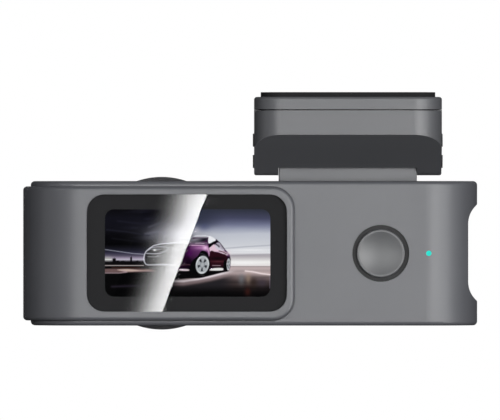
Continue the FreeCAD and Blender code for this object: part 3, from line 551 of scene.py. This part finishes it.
def paint_wheel(art, centre, size, lean):
    """A leaning bright rim with dark openings."""
    x, y = art.x, art.y
    art.lay((172, 176, 180), cover(ellipse(centre, size, turn=lean), x, y))
    c, s = math.cos(lean), math.sin(lean)
    dx = ((x - centre[0]) * c + (y - centre[1]) * s) / size[0]
    dy = ((y - centre[1]) * c - (x - centre[0]) * s) / size[1]
    reach, around = np.hypot(dx, dy), np.arctan2(dy, dx)
    spokes, spoke_turn = 5, 1.1
    gap = 0.5 + 0.5 * np.cos(spokes * around + spoke_turn)
    art.lay((36, 38, 44), ease(gap, 0.5, 0.8) * ease(reach, 0.30, 0.40) * ease(-reach, -0.76, -0.66) * 0.9)
    art.lay((120, 124, 130), np.exp(-((reach - 0.30) / 0.07) ** 2) * 0.6)
    shine = 0.55 + 0.35 * np.sin(3 * around)
    art.lay((240, 242, 244), np.exp(-((reach - 0.90) / 0.06) ** 2) * shine)


def paint_glare_washed_nose(art):
    """The nose of the car, painted as washed out by the glare on the glass: a darkened fill, grey glare tones
    and bright glare-lit outlines.
    """
    # Painted glare: the fill is darkened under the glare's reflection, and the grey spots and bright outlines
    # are painted light.
    shape(art, (16, 16, 18), GHOST_NOSE, 0.9, 0.02)
    for centre, size, level in (((0.75, 0.305), (0.055, 0.014), 178), ((0.79, 0.46), (0.06, 0.014), 120),
                                ((0.82, 0.38), (0.035, 0.05), 150), ((0.80, 0.54), (0.045, 0.028), 170)):
        spot(art, (level, level, level + 2), centre, size, 0.9)
    line(art, (228, 228, 238), GHOST_OUTLINE, 0.0060, 0.95)
    line(art, (150, 148, 156), [(0.60, 0.622), (0.72, 0.640), (0.86, 0.650)], 0.010, 0.5)
    line(art, (214, 214, 226), [(0.495, 0.532), (0.52, 0.560), (0.60, 0.572), (0.68, 0.572), (0.728, 0.556),
                                (0.70, 0.525), (0.64, 0.506)], 0.0055, 0.8)
    line(art, (206, 206, 216), [(0.505, 0.545), (0.625, 0.542)], 0.0045, 0.7)
    line(art, (224, 224, 234), [(0.475, 0.497), (0.55, 0.492), (0.63, 0.495)], 0.0055, 0.85)
    line(art, (196, 196, 198), [(0.492, 0.460), (0.56, 0.455), (0.625, 0.462)], 0.006, 0.8)
    line(art, (4, 5, 10), [(0.475, 0.447), (0.53, 0.444), (0.625, 0.438)], 0.008, 0.9)
    spot(art, (255, 255, 255), (0.567, 0.534), (0.020, 0.012))


def paint_car_body(art):
    """Shadow, painted body and wing, with the light that runs along them."""
    x, y = art.x, art.y
    shape(art, (4, 3, 5), CAR_SHADOW, 1.0, 0.012)
    shape(art, (46, 8, 48), CAR_BODY)
    body = cover(smooth_closed(CAR_BODY), x, y)
    shape(art, (98, 50, 100), CAR_WING, 0.95, 0.02)
    art.lay((14, 1, 16), body * blob(x, y, (0.95, 0.36), (0.14, 0.12)))
    art.lay((170, 112, 164), body * blob(x, y, (1.08, 0.560), (0.07, 0.022)) * 0.9)
    art.lay((72, 14, 80), body * blob(x, y, (0.965, 0.495), (0.035, 0.04)) * 0.9)
    art.lay((240, 196, 232), body * blob(x, y, (1.145, 0.560), (0.036, 0.032)) * 0.95)
    line(art, (214, 166, 200), [(1.165, 0.555), (1.182, 0.520), (1.190, 0.470)], 0.010, 0.9)
    art.lay((104, 82, 106), body * ease(y, 0.588, 0.598) * ease(-y, -0.632, -0.62) * ease(-x, -1.18, -1.16))
    line(art, (236, 196, 226), [(0.985, 0.588), (1.06, 0.588), (1.13, 0.584)], 0.0048, 0.95)
    line(art, (206, 188, 204), [(1.03, 0.612), (1.08, 0.613), (1.13, 0.609)], 0.004, 0.8)
    art.lay((214, 216, 222), body * ease(y, 0.676, 0.684))
    line(art, (150, 148, 158), [(1.01, 0.684), (1.09, 0.690), (1.16, 0.689)], 0.0035, 0.8)


def paint_car_windows(art):
    """Windscreen and side glass with the pale sky in them."""
    x, y = art.x, art.y
    shape(art, (92, 88, 98), CAR_SCREEN)
    pane = cover(smooth_closed(CAR_SCREEN), x, y)
    art.lay((20, 16, 28), pane * blob(x, y, (1.13, 0.650), (0.05, 0.018), 0.2))
    art.lay((128, 124, 134), pane * blob(x, y, (1.02, 0.652), (0.05, 0.014), 0.2))
    shape(art, (236, 236, 240), CAR_SIDE_GLASS, 1.0)
    shape(art, (226, 196, 212), [(1.190, 0.590), (1.24, 0.600), (1.33, 0.540), (1.39, 0.502), (1.38, 0.478),
                                 (1.28, 0.512), (1.20, 0.514)], 1.0, 0.012)
    shape(art, (6, 4, 6), [(1.180, 0.592), (1.205, 0.612), (1.24, 0.632), (1.285, 0.640), (1.275, 0.618),
                           (1.235, 0.598), (1.20, 0.568), (1.182, 0.562)], 1.0)
    shape(art, (206, 202, 214), CAR_REAR_GLASS, 0.9)
    line(art, (22, 16, 24), [(1.262, 0.604), (1.290, 0.585), (1.300, 0.572)], 0.007, 0.9)
    line(art, (24, 18, 26), [(1.268, 0.655), (1.31, 0.615), (1.345, 0.570), (1.362, 0.540)], 0.0042, 0.85)
    line(art, (120, 116, 128), [(1.285, 0.612), (1.325, 0.575), (1.338, 0.550)], 0.004, 0.7)


def paint_car_flank(art):
    """Dark flank, sills and the two wheels."""
    x, y = art.x, art.y
    shape(art, (40, 10, 20), CAR_FLANK, 1.0, 0.008)
    flank = cover(smooth_closed(CAR_FLANK), x, y)
    art.lay((88, 42, 50), flank * blob(x, y, (1.29, 0.404), (0.09, 0.010)) * 0.8)
    art.lay((14, 6, 8), flank * blob(x, y, (1.28, 0.440), (0.09, 0.016)) * 0.8)
    line(art, (236, 214, 226), [(1.31, 0.512), (1.355, 0.497), (1.392, 0.478)], 0.006, 0.8)
    line(art, (34, 12, 20), [(1.300, 0.524), (1.345, 0.512), (1.385, 0.492)], 0.0055, 0.9)
    line(art, (10, 5, 8), [(1.20, 0.342), (1.37, 0.340)], 0.007)
    line(art, (168, 146, 156), [(1.225, 0.359), (1.315, 0.357)], 0.0045, 0.9)
    shape(art, (236, 236, 234), [(1.195, 0.316), (1.26, 0.330), (1.34, 0.328), (1.338, 0.304), (1.22, 0.301)],
          1.0, 0.008)
    shape(art, (222, 206, 210), [(0.850, 0.318), (0.92, 0.318), (0.962, 0.310), (0.945, 0.298),
                                 (0.86, 0.301)])
    line(art, (98, 66, 76), [(0.87, 0.364), (0.95, 0.368), (0.99, 0.362)], 0.005, 0.8)
    shape(art, (3, 3, 5), WHEEL_ARCH, 1.0, 0.008)
    for shift in (0.0, 0.022):
        crease = [(1.088, 0.498 - shift), (1.13, 0.484 - shift), (1.172, 0.448 - shift)]
        line(art, (74, 74, 82), crease, 0.0045, 0.7)
    paint_wheel(art, *FRONT_WHEEL, -0.16)
    shape(art, (4, 4, 6), [(1.355, 0.405), (1.378, 0.418), (1.395, 0.30), (1.36, 0.298), (1.348, 0.33)], 1.0)
    line(art, (8, 6, 10), [(1.398, 0.452), (1.412, 0.455), (1.424, 0.43), (1.422, 0.385)], 0.008)
    paint_wheel(art, *REAR_WHEEL, -0.05)
    spot(art, (232, 214, 222), (1.408, 0.500), (0.022, 0.028), 0.8, 0.4)


def picture_material():
    material, tree, output = new_material("lit_picture")
    shader = node(tree, "BsdfPrincipled", Roughness=0.7)
    shader.inputs["Base Color"].default_value = (0.0005, 0.0005, 0.0005, 1)
    shader.inputs["Specular IOR Level"].default_value = 0.0
    colour = node(tree, "Attribute", attribute_name="picture")
    fine = bump(tree, noise(tree, 9000, 1.0), 0.05, 0.000002)
    tree.links.new(fine, shader.inputs["Normal"])
    tree.links.new(colour.outputs["Color"], shader.inputs["Emission Color"])
    shader.inputs["Emission Strength"].default_value = 1.0
    tree.links.new(shader.outputs[0], output.inputs["Surface"])
    return material


def in_rounded(grid_x, grid_z, low, high, radius, slack):
    """Which grid points lie in a rounded rectangle, or no further out of its corners than the slack."""
    keep = np.ones(grid_x.shape, bool)
    for edge_x, side_x in ((low[0], 1), (high[0], -1)):
        for edge_z, side_z in ((low[1], 1), (high[1], -1)):
            dx = (edge_x + side_x * radius - grid_x) * side_x
            dz = (edge_z + side_z * radius - grid_z) * side_z
            keep &= ~((dx > 0) & (dz > 0) & (np.hypot(dx, dz) > radius + slack))
    return keep


def grid_faces(keep):
    """Four-sided faces between the grid points that are kept."""
    index = -np.ones(keep.shape, int)
    index[keep] = np.arange(keep.sum())
    faces = []
    for row in range(keep.shape[0] - 1):
        for column in range(keep.shape[1] - 1):
            corners = (index[row, column], index[row, column + 1],
                       index[row + 1, column + 1], index[row + 1, column])
            if min(corners) >= 0:
                faces.append(corners)
    return faces


def make_picture():
    """The lit picture: an evening road with a generic hatchback, painted by formula on a fine grid."""
    glass_low, glass_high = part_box("screen_glass")
    margin_left, margin_right, margin_z = 4.0 * MM, 3.65 * MM, 3.25 * MM
    left, right = glass_low.x + margin_left, glass_high.x - margin_right
    bottom, top = glass_low.z + margin_z, glass_high.z - margin_z
    lift, radius, slack = 0.06 * MM, 2.0 * MM, 0.1 * MM
    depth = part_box("lcd_panel")[0].y - lift
    columns, rows = 340, 180
    x = np.linspace(left, right, columns)
    z = np.linspace(bottom, top, rows)
    grid_x, grid_z = np.meshgrid(x, z)
    aspect = (right - left) / (top - bottom)
    art = Canvas((grid_x - left) / (right - left) * aspect, (grid_z - bottom) / (top - bottom))
    for layer in (paint_backdrop, paint_skyline, paint_road, paint_glare_washed_nose, paint_car_body,
                  paint_car_windows, paint_car_flank):
        layer(art)
    light = linear(np.clip(art.colour, 0, 255))
    keep = in_rounded(grid_x, grid_z, (left, bottom), (right, top), radius, slack)
    verts = np.stack([grid_x[keep], np.full(keep.sum(), depth), grid_z[keep]], -1)
    made = add_mesh("screen_picture", verts, grid_faces(keep), picture_material(), "camera")
    layer = made.data.color_attributes.new("picture", "FLOAT_COLOR", "POINT")
    values = np.concatenate([light[keep], np.ones((keep.sum(), 1))], axis=1)
    layer.data.foreach_set("color", values.astype(np.float32).ravel())
    return (left, bottom), (right, top), radius


def make_print(opening_low, opening_high, radius):
    """Black border printed on the glass's back, open over the picture."""
    low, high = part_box("screen_glass")
    inset, corner = 0.02 * MM, 3.83 * MM
    outer = rounded_loop((low.x + inset, low.z + inset), (high.x - inset, high.z - inset), corner)
    inner = rounded_loop(opening_low, opening_high, radius)
    y = high.y - 0.01 * MM
    count = len(outer)
    verts = [(x, y, z) for x, z in outer] + [(x, y, z) for x, z in inner]
    faces = [(i, (i + 1) % count, count + (i + 1) % count, count + i) for i in range(count)]
    ink = surface("black_ink", srgb(36, 36, 37), 0.7, grain=7000, grain_depth=0.000002, mottle=60,
                  spec=0.02)[0]
    add_mesh("glass_print", verts, faces, ink, "camera")


# ------------------------------------------------------------------ studio
AMBIENT = 0.018
LIGHT_DISTANCE = 1.4
ROW_RISE = 4
SHEEN_DROP = -14
GLARE_STRENGTH = 24.5
AIM = Vector((-21.57 * MM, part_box("screen_cover")[0].y, -25.92 * MM))
FRAME_WIDTH = 110.0 * MM
LENS = 1200
SENSOR = 36
CAMERA_DISTANCE = FRAME_WIDTH * LENS / SENSOR


def make_world():
    """White behind the object, and a little even light on it."""
    world = bpy.data.worlds.new("studio")
    bpy.context.scene.world = world
    world.use_nodes = True
    tree = world.node_tree
    tree.nodes.clear()
    output = tree.nodes.new("ShaderNodeOutputWorld")
    seen = tree.nodes.new("ShaderNodeBackground")
    seen.inputs["Color"].default_value = (1, 1, 1, 1)
    lighting = tree.nodes.new("ShaderNodeBackground")
    lighting.inputs["Color"].default_value = (1, 1, 1, 1)
    lighting.inputs["Strength"].default_value = AMBIENT
    path = tree.nodes.new("ShaderNodeLightPath")
    mix = tree.nodes.new("ShaderNodeMixShader")
    tree.links.new(path.outputs["Is Camera Ray"], mix.inputs[0])
    tree.links.new(lighting.outputs[0], mix.inputs[1])
    tree.links.new(seen.outputs[0], mix.inputs[2])
    tree.links.new(mix.outputs[0], output.inputs["Surface"])


def softbox(name, azimuth, elevation, radiance, width=15, height=20):
    """Area light on a sphere round the aim point; angles in degrees, azimuth 0 on the cabin side."""
    turn, tilt = math.radians(azimuth), math.radians(elevation)
    out = Vector((math.sin(turn) * math.cos(tilt), -math.cos(turn) * math.cos(tilt), math.sin(tilt)))
    data = bpy.data.lights.new(name, "AREA")
    data.shape = "RECTANGLE"
    data.size = 2 * LIGHT_DISTANCE * math.tan(math.radians(width / 2))
    data.size_y = 2 * LIGHT_DISTANCE * math.tan(math.radians(height / 2))
    data.energy = radiance * math.pi * data.size * data.size_y
    made = put(name, data)
    made.location = AIM + LIGHT_DISTANCE * out
    made.rotation_euler = (-out).to_track_quat("-Z", "Y").to_euler()
    made.visible_camera = False
    return made


def make_lights():
    """A low row of softboxes on the cabin side; broad fill and a lens light on the road side.

    The right box's gloss comes from a lower box, so that flat tops don't glare when seen from behind.
    """
    softbox("key", 21, ROW_RISE, 14.0, width=24)
    softbox("left", -12, ROW_RISE, 12.9)
    right = softbox("right", 47, ROW_RISE, 16.4)
    right.visible_glossy = False
    right_sheen = softbox("right_sheen", 47, SHEEN_DROP, 17.0)
    right_sheen.visible_diffuse = False
    softbox("left_high", -45, 20, 4.0)
    softbox("left_end", -75, ROW_RISE, 1.1)
    softbox("right_end", 75, ROW_RISE, 1.6)
    road_side = softbox("road_side", 180, 12, 7.0, width=56, height=44)
    road_side.visible_glossy = False
    overhead = softbox("overhead", 180, 78, 2.4, width=40, height=30)
    overhead.visible_glossy = False
    lens_light = softbox("lens_light", 150, 32, 9.5, width=26, height=26)
    optics = bpy.data.collections.new("optics")
    for name in ("lens_bezel", "lens_barrel", "lens_baffle", "lens_holder", "front_lens_element"):
        optics.objects.link(NODES[name])
    lens_light.light_linking.receiver_collection = optics


def make_glare_card():
    """Bright card behind the camera line whose reflection is the slanted glare on the glass."""
    reach = 0.9
    grow = 1 + reach
    y = AIM.y - reach * CAMERA_DISTANCE
    edge_top, edge_bottom = Vector((-8.5, 6.0)) * MM, Vector((-20.5, -25.5)) * MM
    ends = ((edge_top, 12.6 * MM, 1.0, 2.2), (edge_bottom, 11.8 * MM, 0.80, 3.6))
    steps = 28
    verts, faces, glow = [], [], []
    for step in range(steps + 1):
        t = step / steps
        for edge, fade, level, hollow in ends:
            verts.append((AIM.x + (edge.x - fade * (1 - t)) * grow, y, AIM.z + edge.y * grow))
            glow.append(level * float(ease(t, 0, 1)) ** hollow)
    for step in range(steps):
        a = 2 * step
        faces.append((a, a + 1, a + 3, a + 2))
    data = bpy.data.meshes.new("glare_card")
    data.from_pydata(verts, [], faces)
    layer = data.color_attributes.new("glow", "FLOAT_COLOR", "POINT")
    layer.data.foreach_set("color", np.repeat(np.array(glow, np.float32), 4))
    material, tree, output = new_material("glare_glow")
    light = node(tree, "Emission")
    value = node(tree, "Attribute", attribute_name="glow")
    power = node(tree, "Math", operation="MULTIPLY")
    power.inputs[1].default_value = GLARE_STRENGTH
    tree.links.new(value.outputs["Fac"], power.inputs[0])
    tree.links.new(power.outputs[0], light.inputs["Strength"])
    tree.links.new(light.outputs[0], output.inputs["Surface"])
    data.materials.append(material)
    card = put("glare_card", data)
    card.visible_camera = False
    card.visible_diffuse = False
    card.visible_shadow = False


def make_floor():
    """Pale round floor well below the hanging camera, fading out into the white."""
    radius, height = 0.42, -0.125
    mesh = bmesh.new()
    bmesh.ops.create_circle(mesh, cap_ends=True, segments=64, radius=radius)
    data = bpy.data.meshes.new("floor")
    mesh.to_mesh(data)
    mesh.free()
    floor = put("floor", data)
    floor.location = (AIM.x, 0, height)
    material, tree, output = new_material("pale_floor")
    coords = node(tree, "TexCoord")
    length = node(tree, "VectorMath", operation="LENGTH")
    tree.links.new(coords.outputs["Object"], length.inputs[0])
    fade = node(tree, "MapRange")
    fade.inputs["From Min"].default_value = radius * 0.35
    fade.inputs["From Max"].default_value = radius * 0.98
    tree.links.new(length.outputs["Value"], fade.inputs["Value"])
    pale = node(tree, "BsdfDiffuse", Color=(0.86, 0.86, 0.86, 1))
    glow = node(tree, "Emission", Color=(1, 1, 1, 1), Strength=0.55)
    add = node(tree, "AddShader")
    clear = node(tree, "BsdfTransparent")
    mix = node(tree, "MixShader")
    tree.links.new(pale.outputs[0], add.inputs[0])
    tree.links.new(glow.outputs[0], add.inputs[1])
    tree.links.new(fade.outputs["Result"], mix.inputs[0])
    tree.links.new(add.outputs[0], mix.inputs[1])
    tree.links.new(clear.outputs[0], mix.inputs[2])
    tree.links.new(mix.outputs[0], output.inputs["Surface"])
    data.materials.append(material)
    floor.visible_diffuse = False
    floor.visible_glossy = False


def make_camera():
    data = bpy.data.cameras.new("camera")
    data.type = "PERSP"
    data.lens = LENS
    data.sensor_width = SENSOR
    data.clip_start, data.clip_end = 0.1, 20
    made = put("view", data)
    made.location = AIM - Vector((0, CAMERA_DISTANCE, 0))
    made.rotation_euler = (math.radians(90), 0, 0)
    bpy.context.scene.camera = made
    bpy.context.scene.view_settings.view_transform = "Standard"


make_plastics()
make_metals()
make_boards()
make_foam()
make_glass()
make_lens_glass()
make_panel()
make_light_guide()
make_print(*make_picture())
make_world()
make_lights()
make_glare_card()
make_floor()
make_camera()
